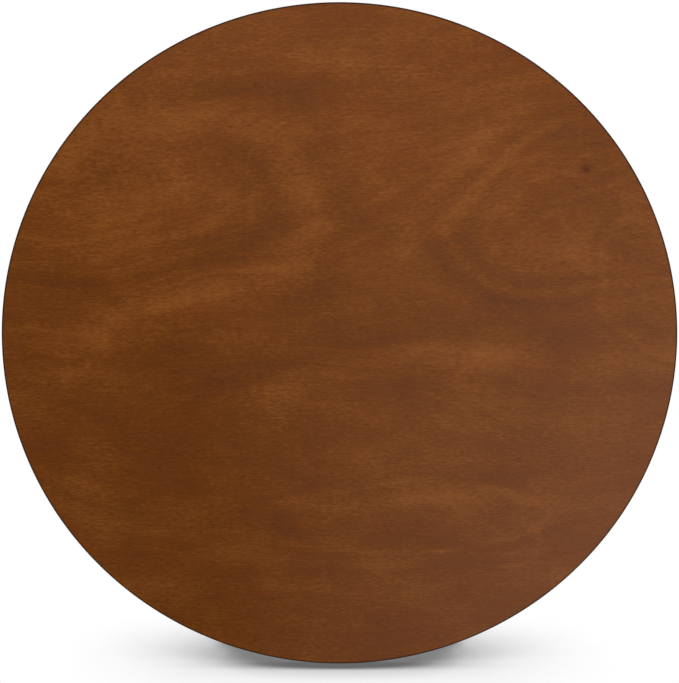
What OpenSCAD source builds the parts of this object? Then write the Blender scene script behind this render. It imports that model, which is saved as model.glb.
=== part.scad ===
// Tilt top coffee table, shown with its round top tipped up.
// X runs along the pivot axis, -Y is the front and +Z is up.
// The origin is on the floor, under the middle of the tipped table.

/* [Top] */
// Diameter of the round top
top_d = 950; // [760:5:1150]
// Finished thickness of the top
top_t = 22; // [18:0.5:30]
// Thickness of the face and back veneers
veneer_t = 0.6; // [0.4:0.1:1.2]
// Thickness of the band around the edge
band_t = 2; // [1:0.5:8]
// Bevel that eases the rim, limited by the veneer
rim_ease = 0.5; // [0.1:0.1:0.5]

/* [Tilt] */
// Angle between the tipped top and the floor
rest_tilt = 78; // [76:0.5:84]
// Distance of the pivot in front of the pillar axis
pivot_ahead = 115; // [95:1:140]
// Drop of the pivot axis below the top's underside
pivot_drop = 30; // [25:0.5:38]
// Gap from the tipped top's lowest edge to the floor
floor_gap = 6; // [3:0.5:14]

/* [Bearers] */
// Width of each bearer under the top
bearer_w = 25; // [20:1:34]
// Height of each bearer in its middle
bearer_h = 45; // [42:1:56]
// Length of each bearer
bearer_len = 640; // [520:5:700]
// Length of the bevel at each bearer's end
bearer_bevel = 110; // [60:5:120]
// Height of each bearer at its ends
bearer_end_h = 18; // [10:1:30]

/* [Block] */
// Width of the block on the pillar
block_w = 190; // [150:1:230]
// Reach of the block behind the pillar axis
block_back = 95; // [75:1:120]
// Depth of the block below the pivot axis
block_below = 20; // [16:0.5:30]

/* [Pillar] */
// Radius of the hub that carries the legs
hub_r = 42; // [38:0.5:52]
// Depth of the flat cut in the hub for each leg
hub_flat = 4; // [3:0.5:6]
// Radius of the neck above the hub
neck_r = 22; // [18:0.5:30]
// Radius of the pillar's fullest part
belly_r = 33; // [24:0.5:40]
// Radius of the pillar's waist
waist_r = 23; // [18:0.5:30]
// Radius of the collar under the block
collar_r = 40; // [30:0.5:48]
// Radius of the tenon through the block
tenon_r = 16; // [12:0.5:17]
// Length of the wedge in the tenon
wedge_len = 34; // [20:1:40]

/* [Legs] */
// Reach of the legs from the pillar axis
leg_reach = 226; // [185:1:280]
// Thickness of the legs
leg_t = 26; // [20:1:30]
// Height of the legs' underside at the hub
leg_rise = 72; // [50:1:95]
// Height of the legs where they meet the hub
leg_root_h = 80; // [66:1:96]
// Height of the legs' toes
toe_h = 22; // [19:1:32]
// Length of the flat under each toe
toe_len = 34; // [28:1:44]
// Diameter of the dowels in the legs
dowel_d = 10; // [8:0.5:12]
// Length of the dowels in the legs
dowel_len = 40; // [30:1:44]

/* [Pivots] */
// Diameter of the pivot bolts
bolt_d = 10; // [8:0.5:12]
// Wall of the brass pivot bushes
bush_wall = 2; // [1.5:0.25:3]
// Wall of the threaded inserts in the block
insert_wall = 2.5; // [2:0.25:4]
// Length of the threaded inserts
insert_len = 32; // [24:1:40]
// Thickness of the washers
washer_t = 1.6; // [1:0.1:2.5]

/* [Catch] */
// Diameter of the catch's bolt
catch_d = 8; // [6:0.5:9]
// Travel of the catch's bolt
catch_throw = 16; // [10:0.5:18]
// Drop of the catch's bolt below the top's underside
catch_drop = 10; // [9:0.5:11]
// Thickness of the catch and keeper plates
plate_t = 1.6; // [1.2:0.1:2]

/* [Fits] */
// Radial clearance of a bolt that turns or slides
run_fit = 0.05; // [0.03:0.01:0.1]
// Radial clearance of a glued or pressed pin
seat_fit = 0.02; // [0.01:0.01:0.05]
// Gap between moving faces
face_gap = 0.3; // [0.3:0.05:0.5]
// Height of the felt pads above the wood
pad_proud = 1; // [0.6:0.1:1.5]

/* [Hidden] */
$fn = 96;
top_r = top_d / 2;
core_t = top_t - 2 * veneer_t;
rim_bevel = min(rim_ease, 0.85 * veneer_t);

// Felt pads and the recesses that hold them
pad_r = 7;
pad_depth = 1.5;
pad_gap = pad_proud + face_gap;
nose_r = pivot_drop - pad_gap;

// The tipped top's lowest edge sets the height of the pivot
pivot_z = floor_gap + (top_r - pivot_ahead) * sin(rest_tilt)
    - pivot_drop * cos(rest_tilt);
front_reach = pivot_ahead + (top_r - rim_bevel - pivot_ahead) * cos(rest_tilt)
    + (pivot_drop + top_t) * sin(rest_tilt);
back_reach = (leg_reach + leg_t / 2) * sin(45);
pillar_y = (front_reach - back_reach) / 2;
pivot_y = pillar_y - pivot_ahead;

// Block, in the pivot's own y and z
block_top = nose_r;
block_rear = pivot_ahead + block_back;
block_z = pivot_z - block_below;
stop_len = (nose_r * cos(rest_tilt) + block_below) / sin(rest_tilt);
stop_pad_x = block_w / 2 - 35;
rest_pad_x = block_w / 2 - 30;
rest_pad_y = block_rear - 25;
nose_steps = 26;

// Pivot stack, outwards from the block's side
bearer_x = block_w / 2 + washer_t + face_gap;
bearer_out = bearer_x + bearer_w;
bush_r = bolt_d / 2 + run_fit + bush_wall;
flange_t = 1.5;
flange_r = bush_r + 3;
head_washer_x = bearer_out + flange_t + face_gap;
head_x = head_washer_x + washer_t;
head_h = 0.64 * bolt_d;
head_r = 0.98 * bolt_d;
washer_r = 1.1 * bolt_d;
insert_r = bolt_d / 2 + seat_fit + insert_wall;
bolt_tip_gap = 3;

// Bearer screws, as distances from the middle of the top
bearer_screw_y = [-190, -45, 45, 190];
bearer_screw_r = 2.5;
bearer_screw_into = 14;
bearer_counterbore = 20;

// Pillar heights and its turned shape between hub and collar
leg_root_top = leg_rise + leg_root_h;
hub_top = leg_root_top + 8;
collar_h = 12;
shaft_h = block_z - collar_h - hub_top;
shaft_shape = [
    [0.00, hub_r - 3],
    [0.14, neck_r],
    [0.48, belly_r],
    [0.88, waist_r],
    [1.00, collar_r - 5]
];
curve_steps = 10;
wedge_top_w = 5;
wedge_tip_w = 1.5;

// Legs: two upper dowel heights, the steel plate under them, the glides
root_r = hub_r - hub_flat;
leg_span = leg_reach - root_r;
leg_angles = [225, 315, 45, 135];
dowel_z = [leg_rise + 0.34 * leg_root_h, leg_rise + 0.74 * leg_root_h];
spider_t = 3;
spider_w = leg_t - 4;
spider_reach = root_r + 52;
spider_screw_at = [root_r - 14, spider_reach - 14];
spider_screw_r = 2.2;
spider_screw_len = 18;
glide_r = 11;
glide_t = 5;
glide_at = leg_reach - toe_len / 2;
nail_r = 1.5;
nail_len = 18;

// Catch, in the top's own y and z measured from the pivot
keeper_w = 46;
keeper_h = 15;
keeper_hole_r = catch_d / 2 + 0.5;
keeper_screw_x = 15;
catch_z = pivot_drop - catch_drop;
catch_clear = 1;
catch_y = sqrt(pow(block_rear + plate_t, 2) + pow(block_top, 2)) + catch_clear;
guide_len = 9;
guide_w = 18;
guide_wall = 3;
knob_neck_r = 2.5;
knob_room = catch_throw + 2 * knob_neck_r + 4;
catch_bolt_len = 2 * guide_len + knob_room + catch_throw + 4;
catch_plate_w = 40;
catch_plate_len = catch_bolt_len + 8;
front_guide_y = catch_y + 3;
back_guide_y = front_guide_y + guide_len + knob_room;
knob_y = back_guide_y - knob_neck_r - 2;
small_screw_r = 1.75;
small_screw_len = 13;

// ---- Frames and shared shapes ----

// Pillar axis, at floor level
module at_pillar() {
    translate([0, pillar_y, 0]) children();
}

// Pivot axis with the level directions of the base
module at_pivot() {
    translate([0, pivot_y, pivot_z]) children();
}

// The top's own frame: pivot axis, with Z square to the tipped face
module in_top() {
    at_pivot() rotate([rest_tilt, 0, 0]) children();
}

// A cylinder along X from x0 to x1
module rod_x(r, x0, x1) {
    translate([x0, 0, 0]) rotate([0, 90, 0]) cylinder(r = r, h = x1 - x0);
}

// A cylinder along Y from y0 to y1
module rod_y(r, y0, y1) {
    translate([0, y0, 0]) rotate([-90, 0, 0]) cylinder(r = r, h = y1 - y0);
}

// A profile drawn in Y and Z, extruded along X about the middle
module along_x(width) {
    rotate([90, 0, 90]) translate([0, 0, -width / 2]) linear_extrude(width) children();
}

// A countersunk wood screw with its flat head at z = 0 and its tip up
module flat_screw(r, len) {
    head = 2 * r;
    difference() {
        union() {
            cylinder(r1 = head, r2 = r, h = r);
            cylinder(r = r, h = len - 2 * r);
            translate([0, 0, len - 2 * r]) cylinder(r1 = r, r2 = 0.2 * r, h = 2 * r);
        }
        translate([-2 * head, -0.2 * r, -1]) cube([4 * head, 0.4 * r, 1 + 0.4 * r]);
    }
}

// The hole that a flat_screw sits in
module flat_screw_hole(r, len) {
    translate([0, 0, -1]) cylinder(r = 2 * r + seat_fit, h = 1);
    cylinder(r1 = 2 * r + seat_fit, r2 = r + seat_fit, h = r);
    cylinder(r = r + seat_fit, h = len + 0.5);
}

function bezier(p, t) =
    pow(1 - t, 3) * p[0] + 3 * pow(1 - t, 2) * t * p[1]
    + 3 * (1 - t) * pow(t, 2) * p[2] + pow(t, 3) * p[3];

function eased(a, b, t) = a + (b - a) * (1 - cos(180 * t)) / 2;

// ---- Base ----

// Turned pillar: hub, shaft, collar and the tenon through the block
module pillar() {
    shaft = [
        for (k = [0 : len(shaft_shape) - 2], i = [0 : curve_steps - 1])
            let (a = shaft_shape[k], b = shaft_shape[k + 1], t = i / curve_steps)
            [eased(a[1], b[1], t), hub_top + shaft_h * (a[0] + (b[0] - a[0]) * t)]
    ];
    outline = concat(
        [[0, leg_rise], [hub_r, leg_rise], [hub_r, hub_top - 2], [hub_r - 2, hub_top]],
        shaft,
        [[collar_r - 5, block_z - collar_h], [collar_r, block_z - collar_h + 4],
         [collar_r, block_z - 1], [collar_r - 1, block_z],
         [tenon_r, block_z], [tenon_r, pivot_z + block_top], [0, pivot_z + block_top]]
    );
    color("saddlebrown") at_pillar() difference() {
        rotate_extrude() polygon(outline);
        for (a = leg_angles) rotate([0, 0, a]) {
            translate([root_r, -hub_r, leg_rise - 1]) cube([hub_r, 2 * hub_r, leg_root_h + 1]);
            for (z = dowel_z) translate([0, 0, z])
                rod_x(dowel_d / 2 + seat_fit, root_r - dowel_len / 2, root_r + 1);
            translate([spider_screw_at[0], 0, leg_rise - spider_t])
                flat_screw_hole(spider_screw_r, spider_screw_len);
        }
        translate([0, 0, pivot_z + block_top]) wedge_profile(2 * tenon_r + 2, 1);
    }
}

// The wedge's taper in Y and Z below z = 0, run up by extra above it
module wedge_profile(width, extra) {
    along_x(width) polygon([
        [-wedge_tip_w / 2, -wedge_len], [wedge_tip_w / 2, -wedge_len],
        [wedge_top_w / 2, 0], [wedge_top_w / 2, extra],
        [-wedge_top_w / 2, extra], [-wedge_top_w / 2, 0]
    ]);
}

module tenon_wedge() {
    color("peru") at_pillar() translate([0, 0, pivot_z + block_top])
        wedge_profile(1.8 * tenon_r, 0);
}

// Side profile of the block: flat on top, round about the pivot, and a
// sloping stop face that lies parallel to the tipped top
module block_profile() {
    foot = nose_r * [-sin(rest_tilt), cos(rest_tilt)];
    low_front = foot - stop_len * [cos(rest_tilt), sin(rest_tilt)];
    polygon(concat(
        [[block_rear, -block_below], [block_rear, block_top]],
        [for (i = [0 : nose_steps])
            let (a = 90 + rest_tilt * i / nose_steps) nose_r * [cos(a), sin(a)]],
        [low_front]
    ));
}

module top_block() {
    color("saddlebrown") difference() {
        at_pivot() along_x(block_w) block_profile();
        at_pillar() translate([0, 0, block_z - 1])
            cylinder(r = tenon_r + seat_fit, h = block_below + block_top + 2);
        for (s = [-1, 1]) {
            at_pivot() rod_x(insert_r + seat_fit,
                s > 0 ? block_w / 2 - insert_len : -block_w / 2 - 1,
                s > 0 ? block_w / 2 + 1 : -block_w / 2 + insert_len);
            at_pivot() translate([s * rest_pad_x, rest_pad_y, block_top - pad_depth])
                cylinder(r = pad_r + seat_fit, h = pad_depth + 1);
            in_top() translate([s * stop_pad_x, -stop_len / 2, nose_r - pad_depth])
                cylinder(r = pad_r + seat_fit, h = pad_depth + 1);
            at_pivot() translate([s * keeper_screw_x, block_rear + plate_t, catch_z])
                rotate([90, 0, 0]) flat_screw_hole(small_screw_r, small_screw_len);
        }
        at_pivot() translate([0, 0, catch_z])
            rod_y(keeper_hole_r, block_rear - catch_throw, block_rear + 1);
    }
}

// One leg's outline in its own radius and height
module leg_profile() {
    toe_z = glide_t;
    upper = [
        [root_r, leg_root_top], [root_r + 0.40 * leg_span, leg_root_top - 2],
        [root_r + 0.58 * leg_span, toe_z + toe_h + 10], [leg_reach, toe_z + toe_h]
    ];
    lower = [
        [leg_reach - toe_len, toe_z], [leg_reach - toe_len - 0.22 * leg_span, toe_z + 3],
        [spider_reach + 0.22 * leg_span, leg_rise], [spider_reach, leg_rise]
    ];
    polygon(concat(
        [for (i = [0 : 24]) bezier(upper, i / 24)],
        [[leg_reach, toe_z]],
        [for (i = [0 : 20]) bezier(lower, i / 20)],
        [[root_r, leg_rise]]
    ));
}

// One leg, turned about the pillar to its own angle
module leg(angle) {
    color("saddlebrown") at_pillar() rotate([0, 0, angle]) difference() {
        rotate([90, 0, 0]) translate([0, 0, -leg_t / 2]) linear_extrude(leg_t) leg_profile();
        for (z = dowel_z) translate([0, 0, z])
            rod_x(dowel_d / 2 + seat_fit, root_r - 1, root_r + dowel_len / 2);
        translate([spider_screw_at[1], 0, leg_rise - spider_t])
            flat_screw_hole(spider_screw_r, spider_screw_len);
        translate([glide_at, 0, 0]) cylinder(r = nail_r + seat_fit, h = nail_len + 3);
    }
}

module leg_front_left() { leg(leg_angles[0]); }
module leg_front_right() { leg(leg_angles[1]); }
module leg_back_right() { leg(leg_angles[2]); }
module leg_back_left() { leg(leg_angles[3]); }

module leg_dowels() {
    color("burlywood") at_pillar()
        for (a = leg_angles, z = dowel_z) rotate([0, 0, a]) translate([0, 0, z])
            rod_x(dowel_d / 2, root_r - dowel_len / 2 + 0.5, root_r + dowel_len / 2 - 0.5);
}

// Four-armed steel plate that ties the legs to the hub from below
module spider_plate() {
    color("dimgray") at_pillar() translate([0, 0, leg_rise - spider_t]) difference() {
        linear_extrude(spider_t) {
            circle(r = root_r - 4);
            for (a = [45, 135]) rotate(a) square([2 * spider_reach, spider_w], center = true);
        }
        for (a = leg_angles, r = spider_screw_at) rotate([0, 0, a]) translate([r, 0, 0])
            flat_screw_hole(spider_screw_r, spider_screw_len);
    }
}

module spider_screws() {
    color("silver") at_pillar() translate([0, 0, leg_rise - spider_t])
        for (a = leg_angles, r = spider_screw_at) rotate([0, 0, a]) translate([r, 0, 0])
            flat_screw(spider_screw_r, spider_screw_len);
}

// Round glides under the toes, each hollowed for its nail's head
module foot_glides() {
    color("dimgray") at_pillar()
        for (a = leg_angles) rotate([0, 0, a]) translate([glide_at, 0, 0]) difference() {
            union() {
                cylinder(r1 = glide_r - 2, r2 = glide_r, h = 2);
                translate([0, 0, 2]) cylinder(r = glide_r, h = glide_t - 2);
            }
            translate([0, 0, -1]) cylinder(r = 4, h = 2.5);
            cylinder(r = nail_r + seat_fit, h = glide_t + 1);
        }
}

module glide_nails() {
    color("silver") at_pillar()
        for (a = leg_angles) rotate([0, 0, a]) translate([glide_at, 0, 0]) {
            translate([0, 0, 0.7]) cylinder(r = 3.6, h = 0.8);
            translate([0, 0, 0.7]) cylinder(r = nail_r, h = nail_len);
        }
}

// Bolt that screws into the block and carries one bearer on its shank
module pivot_bolt(side) {
    color("silver") at_pivot() mirror([side < 0 ? 1 : 0, 0, 0]) {
        rod_x(bolt_d / 2, block_w / 2 - insert_len + bolt_tip_gap, head_x);
        translate([head_x, 0, 0]) rotate([0, 90, 0]) cylinder(r = head_r, h = head_h, $fn = 6);
    }
}

module pivot_bolt_left() { pivot_bolt(-1); }
module pivot_bolt_right() { pivot_bolt(1); }

module pivot_insert(side) {
    color("goldenrod") at_pivot() mirror([side < 0 ? 1 : 0, 0, 0]) difference() {
        rod_x(insert_r, block_w / 2 - insert_len, block_w / 2);
        rod_x(bolt_d / 2 + seat_fit, block_w / 2 - insert_len - 1, block_w / 2 + 1);
    }
}

module pivot_insert_left() { pivot_insert(-1); }
module pivot_insert_right() { pivot_insert(1); }

// A pair of washers on the pivot bolts, each starting at x0 from the middle
module washer_pair(x0) {
    at_pivot() for (side = [0, 1]) mirror([side, 0, 0]) difference() {
        rod_x(washer_r, x0, x0 + washer_t);
        rod_x(bolt_d / 2 + seat_fit, x0 - 1, x0 + washer_t + 1);
    }
}

module thrust_washers() { color("silver") washer_pair(block_w / 2); }
module head_washers() { color("silver") washer_pair(head_washer_x); }

// Plate on the block's rear face that takes the catch's bolt
module keeper_plate() {
    color("goldenrod") at_pivot() difference() {
        translate([-keeper_w / 2, block_rear, catch_z - keeper_h / 2])
            cube([keeper_w, plate_t, keeper_h]);
        translate([0, 0, catch_z]) rod_y(keeper_hole_r, block_rear - 1, block_rear + plate_t + 1);
        for (s = [-1, 1]) translate([s * keeper_screw_x, block_rear + plate_t, catch_z])
            rotate([90, 0, 0]) flat_screw_hole(small_screw_r, small_screw_len);
    }
}

module keeper_screws() {
    color("goldenrod") at_pivot() for (s = [-1, 1])
        translate([s * keeper_screw_x, block_rear + plate_t, catch_z])
            rotate([90, 0, 0]) flat_screw(small_screw_r, small_screw_len);
}

module pad() { cylinder(r = pad_r, h = pad_depth + pad_proud); }

module stop_pads() {
    color("darkolivegreen") in_top() for (s = [-1, 1])
        translate([s * stop_pad_x, -stop_len / 2, nose_r - pad_depth]) pad();
}

module rest_pads() {
    color("darkolivegreen") at_pivot() for (s = [-1, 1])
        translate([s * rest_pad_x, rest_pad_y, block_top - pad_depth]) pad();
}

// ---- Top ----

// Places its children at the middle of the top's underside
module under_top() {
    in_top() translate([0, pivot_ahead, pivot_drop]) children();
}

// The holes of the bearer screws, through the bearers and into the top
module bearer_screw_places() {
    for (s = [-1, 1], y = bearer_screw_y)
        translate([s * (bearer_x + bearer_w / 2), y, bearer_counterbore - bearer_h]) children();
}

bearer_screw_len = bearer_h - bearer_counterbore + bearer_screw_into;

module bearer_screw_holes() {
    bearer_screw_places() {
        translate([0, 0, -bearer_counterbore - 1])
            cylinder(r = 2 * bearer_screw_r + 0.5, h = bearer_counterbore + 1);
        flat_screw_hole(bearer_screw_r, bearer_screw_len);
    }
}

module catch_screw_places() {
    for (s = [-1, 1], k = [0, 1])
        translate([s * (catch_plate_w / 2 - 5),
            catch_y - pivot_ahead + (k == 0 ? 5 : catch_plate_len - 5), -plate_t]) children();
}

module top_core() {
    color("tan") under_top() difference() {
        translate([0, 0, veneer_t]) cylinder(r = top_r - band_t, h = core_t, $fn = 192);
        bearer_screw_holes();
        catch_screw_places() flat_screw_hole(small_screw_r, small_screw_len);
    }
}

module face_veneer() {
    color("sienna") under_top() translate([0, 0, top_t - veneer_t])
        rotate_extrude($fn = 192) polygon([
            [0, 0], [top_r, 0], [top_r, veneer_t - rim_bevel],
            [top_r - rim_bevel, veneer_t], [0, veneer_t]
        ]);
}

module back_veneer() {
    color("sienna") under_top() difference() {
        rotate_extrude($fn = 192) polygon([
            [0, 0], [top_r - rim_bevel, 0], [top_r, rim_bevel], [top_r, veneer_t], [0, veneer_t]
        ]);
        bearer_screw_holes();
        catch_screw_places() flat_screw_hole(small_screw_r, small_screw_len);
    }
}

module edge_band() {
    color("sienna") under_top() translate([0, 0, veneer_t]) difference() {
        cylinder(r = top_r, h = core_t, $fn = 192);
        translate([0, 0, -1]) cylinder(r = top_r - band_t, h = core_t + 2, $fn = 192);
    }
}

// A bearer with bevelled ends, bored for the pivot bush and its screws
module bearer(side) {
    half = bearer_len / 2;
    color("saddlebrown") difference() {
        under_top() translate([side * (bearer_x + bearer_w / 2), 0, 0]) along_x(bearer_w)
            polygon([
                [-half, -bearer_end_h], [-half, 0], [half, 0], [half, -bearer_end_h],
                [half - bearer_bevel, -bearer_h], [bearer_bevel - half, -bearer_h]
            ]);
        at_pivot() rod_x(bush_r + seat_fit, -bearer_out - 1, bearer_out + 1);
        under_top() bearer_screw_holes();
    }
}

module bearer_left() { bearer(-1); }
module bearer_right() { bearer(1); }

module bearer_screws() {
    color("silver") under_top() bearer_screw_places() flat_screw(bearer_screw_r, bearer_screw_len);
}

// Flanged brass bush, pressed into one bearer
module pivot_bush(side) {
    color("goldenrod") at_pivot() mirror([side < 0 ? 1 : 0, 0, 0]) difference() {
        union() {
            rod_x(bush_r, bearer_x, bearer_out);
            rod_x(flange_r, bearer_out, bearer_out + flange_t);
        }
        rod_x(bolt_d / 2 + run_fit, bearer_x - 1, bearer_out + flange_t + 1);
    }
}

module pivot_bush_left() { pivot_bush(-1); }
module pivot_bush_right() { pivot_bush(1); }

// ---- Catch ----

module catch_plate() {
    color("goldenrod") under_top() difference() {
        translate([-catch_plate_w / 2, catch_y - pivot_ahead, -plate_t])
            cube([catch_plate_w, catch_plate_len, plate_t]);
        catch_screw_places() flat_screw_hole(small_screw_r, small_screw_len);
    }
}

// Two bored guides that carry the sliding bolt
module catch_guides() {
    guide_low = catch_z - catch_d / 2 - guide_wall;
    guide_high = pivot_drop - plate_t;
    color("goldenrod") in_top() for (y = [front_guide_y, back_guide_y]) difference() {
        translate([-guide_w / 2, y, guide_low]) cube([guide_w, guide_len, guide_high - guide_low]);
        translate([0, 0, catch_z]) rod_y(catch_d / 2 + run_fit, y - 1, y + guide_len + 1);
    }
}

module catch_screws() {
    color("goldenrod") under_top() catch_screw_places() flat_screw(small_screw_r, small_screw_len);
}

// Sliding bolt, drawn back, with a round nose and a hole for the knob
module catch_bolt() {
    nose = catch_d / 4;
    color("goldenrod") in_top() translate([0, 0, catch_z]) difference() {
        union() {
            translate([0, catch_y + nose, 0]) rotate([90, 0, 0])
                cylinder(r1 = catch_d / 2, r2 = catch_d / 2 - nose, h = nose);
            rod_y(catch_d / 2, catch_y + nose, catch_y + catch_bolt_len);
        }
        translate([0, knob_y, -catch_d]) cylinder(r = knob_neck_r / 2 + seat_fit, h = catch_d + 1);
    }
}

// Turned knob with a spigot in the bolt
module catch_knob() {
    knob_r = 7;
    neck_len = guide_wall + 4;
    color("goldenrod") in_top() translate([0, knob_y, catch_z]) {
        translate([0, 0, -catch_d / 2]) cylinder(r = knob_neck_r / 2, h = catch_d / 2);
        translate([0, 0, -catch_d / 2 - neck_len]) cylinder(r = knob_neck_r, h = neck_len);
        translate([0, 0, -catch_d / 2 - neck_len]) rotate_extrude() intersection() {
            translate([0, -0.7 * knob_r]) circle(r = knob_r);
            translate([0, -2 * knob_r]) square([knob_r, 2 * knob_r]);
        }
    }
}

pillar();
top_block();
tenon_wedge();
leg_front_left();
leg_front_right();
leg_back_right();
leg_back_left();
leg_dowels();
spider_plate();
spider_screws();
foot_glides();
glide_nails();
pivot_bolt_left();
pivot_bolt_right();
pivot_insert_left();
pivot_insert_right();
thrust_washers();
head_washers();
keeper_plate();
keeper_screws();
stop_pads();
rest_pads();
top_core();
face_veneer();
back_veneer();
edge_band();
bearer_left();
bearer_right();
bearer_screws();
pivot_bush_left();
pivot_bush_right();
catch_plate();
catch_guides();
catch_screws();
catch_bolt();
catch_knob();
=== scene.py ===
"""Tilt top coffee table with its round top tipped up, in stained walnut on a turned pillar."""
import math

import bmesh
import bpy
import numpy as np
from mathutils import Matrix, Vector


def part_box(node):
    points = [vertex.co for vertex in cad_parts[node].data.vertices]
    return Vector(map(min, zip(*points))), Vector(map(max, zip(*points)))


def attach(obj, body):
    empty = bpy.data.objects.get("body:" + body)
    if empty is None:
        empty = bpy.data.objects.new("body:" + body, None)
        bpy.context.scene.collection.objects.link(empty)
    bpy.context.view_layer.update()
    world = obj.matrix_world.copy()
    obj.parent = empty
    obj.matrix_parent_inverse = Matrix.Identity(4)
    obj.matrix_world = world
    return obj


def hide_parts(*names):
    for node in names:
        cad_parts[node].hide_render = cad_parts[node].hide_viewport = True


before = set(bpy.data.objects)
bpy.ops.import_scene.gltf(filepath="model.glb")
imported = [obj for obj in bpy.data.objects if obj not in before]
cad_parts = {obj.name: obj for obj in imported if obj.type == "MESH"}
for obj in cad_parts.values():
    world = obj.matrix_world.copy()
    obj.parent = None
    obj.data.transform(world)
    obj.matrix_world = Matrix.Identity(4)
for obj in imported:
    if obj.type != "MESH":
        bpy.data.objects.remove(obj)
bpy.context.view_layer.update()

# ---- Pillar ----
# Turned from one walnut blank: a hub with four flats for the legs, a slim neck, a full belly, a
# waist and a collar, and a tenon that runs up through the block. Stained, then lacquered satin.

MM = 0.001
SOFT_ARRIS = 1.5


def corners(node):
    """Lowest and highest corner of a CAD piece, in millimetres."""
    low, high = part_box(node)
    return np.array(low) / MM, np.array(high) / MM


def piece(name, grids, sharp_deg=35):
    """Mesh object from grids of points in millimetres, each given as (points, wrap rows, wrap columns).

    Each grid is a surface over two parameters. Neighbouring points join into quads, a wrapped
    direction joins its last line to its first, and points that coincide at seams and poles merge."""
    points, quads, start = [], [], 0
    for grid, wrap_rows, wrap_columns in grids:
        rows, columns = grid.shape[:2]
        ids = start + np.arange(rows * columns).reshape(rows, columns)
        if wrap_rows:
            ids = np.vstack([ids, ids[:1]])
        if wrap_columns:
            ids = np.hstack([ids, ids[:, :1]])
        ring = [ids[:-1, :-1], ids[1:, :-1], ids[1:, 1:], ids[:-1, 1:]]
        quads.append(np.stack(ring, axis=-1).reshape(-1, 4))
        points.append(grid.reshape(-1, 3) * MM)
        start += rows * columns
    mesh = bpy.data.meshes.new(name)
    mesh.from_pydata(np.vstack(points).tolist(), [], np.vstack(quads).tolist())
    body = bmesh.new()
    body.from_mesh(mesh)
    bmesh.ops.remove_doubles(body, verts=body.verts, dist=0.002 * MM)
    bmesh.ops.dissolve_degenerate(body, edges=body.edges, dist=0.001 * MM)
    bmesh.ops.recalc_face_normals(body, faces=body.faces)
    body.to_mesh(mesh)
    body.free()
    mesh.shade_smooth()
    mesh.set_sharp_from_angle(angle=math.radians(sharp_deg))
    made = bpy.data.objects.new(name, mesh)
    bpy.context.scene.collection.objects.link(made)
    return made


def arc(centre_r, centre_z, radius, start_deg, end_deg, steps=8):
    """Points on a circle in radius and height, from one angle to another."""
    turn = np.radians(np.linspace(start_deg, end_deg, steps))
    return np.stack([centre_r + radius * np.cos(turn), centre_z + radius * np.sin(turn)], axis=1)


def turned(profile, steps=96):
    """Surface of revolution: the profile's radius swept through a full turn at each of its heights."""
    turn = np.linspace(0, 2 * np.pi, steps, endpoint=False)[:, None]
    radius, height = profile[:, 0], profile[:, 1]
    return np.stack([radius * np.cos(turn), radius * np.sin(turn), height + 0 * turn], axis=-1)


pillar_low, pillar_high = corners("pillar")
leg_low, leg_high = corners("leg_back_right")
block_low, block_high = corners("top_block")
pillar_y = (pillar_low[1] + pillar_high[1]) / 2
leg_rise = pillar_low[2]
leg_root_top = leg_high[2]
hub_r = (pillar_high[0] - pillar_low[0]) / 2
hub_flat = 4
root_r = hub_r - hub_flat
hub_top = leg_root_top + 8
collar_r = 40
collar_h = 12
tenon_r = 16
shaft_h = block_low[2] - collar_h - hub_top
leg_angles = (225, 315, 45, 135)

# Share of the shaft's height, and radius there: hub, neck, belly, waist, collar
shaft_shape = [(0, hub_r - 3), (0.14, 22), (0.48, 33), (0.88, 23), (1, collar_r - 5)]


def shaft_curve(shape, base_z, height, steps=22):
    """Radius eased by half a cosine wave from each listed place to the next."""
    share = np.linspace(0, 1, steps, endpoint=False)
    ease = (1 - np.cos(np.pi * share)) / 2
    parts = [
        np.stack([r0 + (r1 - r0) * ease, base_z + height * (h0 + (h1 - h0) * share)], axis=1)
        for (h0, r0), (h1, r1) in zip(shape, shape[1:])
    ]
    return np.vstack(parts)


def pillar_grid():
    """Radius by height and angle: the turned profile, cut down below the legs' tops to the smaller of
    that radius and the distance to each leg's flat, which is the flat's depth over the cosine of the
    angle from that leg."""
    block_z = block_low[2]
    hub = np.vstack([
        [[0, leg_rise], [hub_r - SOFT_ARRIS, leg_rise]],
        arc(hub_r - SOFT_ARRIS, leg_rise + SOFT_ARRIS, SOFT_ARRIS, -90, 0),
        [[hub_r, leg_root_top]],
    ])
    above = np.vstack([
        [[hub_r, leg_root_top]],
        arc(hub_r - 2, hub_top - 2, 2, 0, 90),
        shaft_curve(shaft_shape, hub_top, shaft_h),
        [[collar_r - 5, block_z - collar_h]],
        arc(collar_r - 4, block_z - collar_h + 4, 4, -90, 0),
        arc(collar_r - SOFT_ARRIS, block_z - SOFT_ARRIS, SOFT_ARRIS, 0, 90),
        [[tenon_r, block_z]],
        arc(tenon_r - 0.5, block_high[2] - 0.8, 0.5, 0, 90),
        [[0, block_high[2] - 0.3]],
    ])
    lower, upper = turned(hub, 240), turned(above, 240)
    turn = np.arctan2(lower[:, :, 1], lower[:, :, 0])
    off_leg = np.radians(np.degrees(turn) % 90 - 45)
    radius = np.hypot(lower[:, :, 0], lower[:, :, 1])
    reach = np.minimum(radius, root_r / np.cos(off_leg))
    lower[:, :, :2] *= np.where(radius > 0, reach / np.maximum(radius, 1e-9), 1)[:, :, None]
    grid = np.concatenate([lower, upper], axis=1)
    grid[:, :, 1] += pillar_y
    return grid


def sunlit(hex_colour):
    """An sRGB hex colour as linear red, green, blue and alpha."""
    parts = [int(hex_colour[i:i + 2], 16) / 255 for i in (1, 3, 5)]
    return [p / 12.92 if p <= 0.04045 else ((p + 0.055) / 1.055) ** 2.4 for p in parts] + [1.0]


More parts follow.
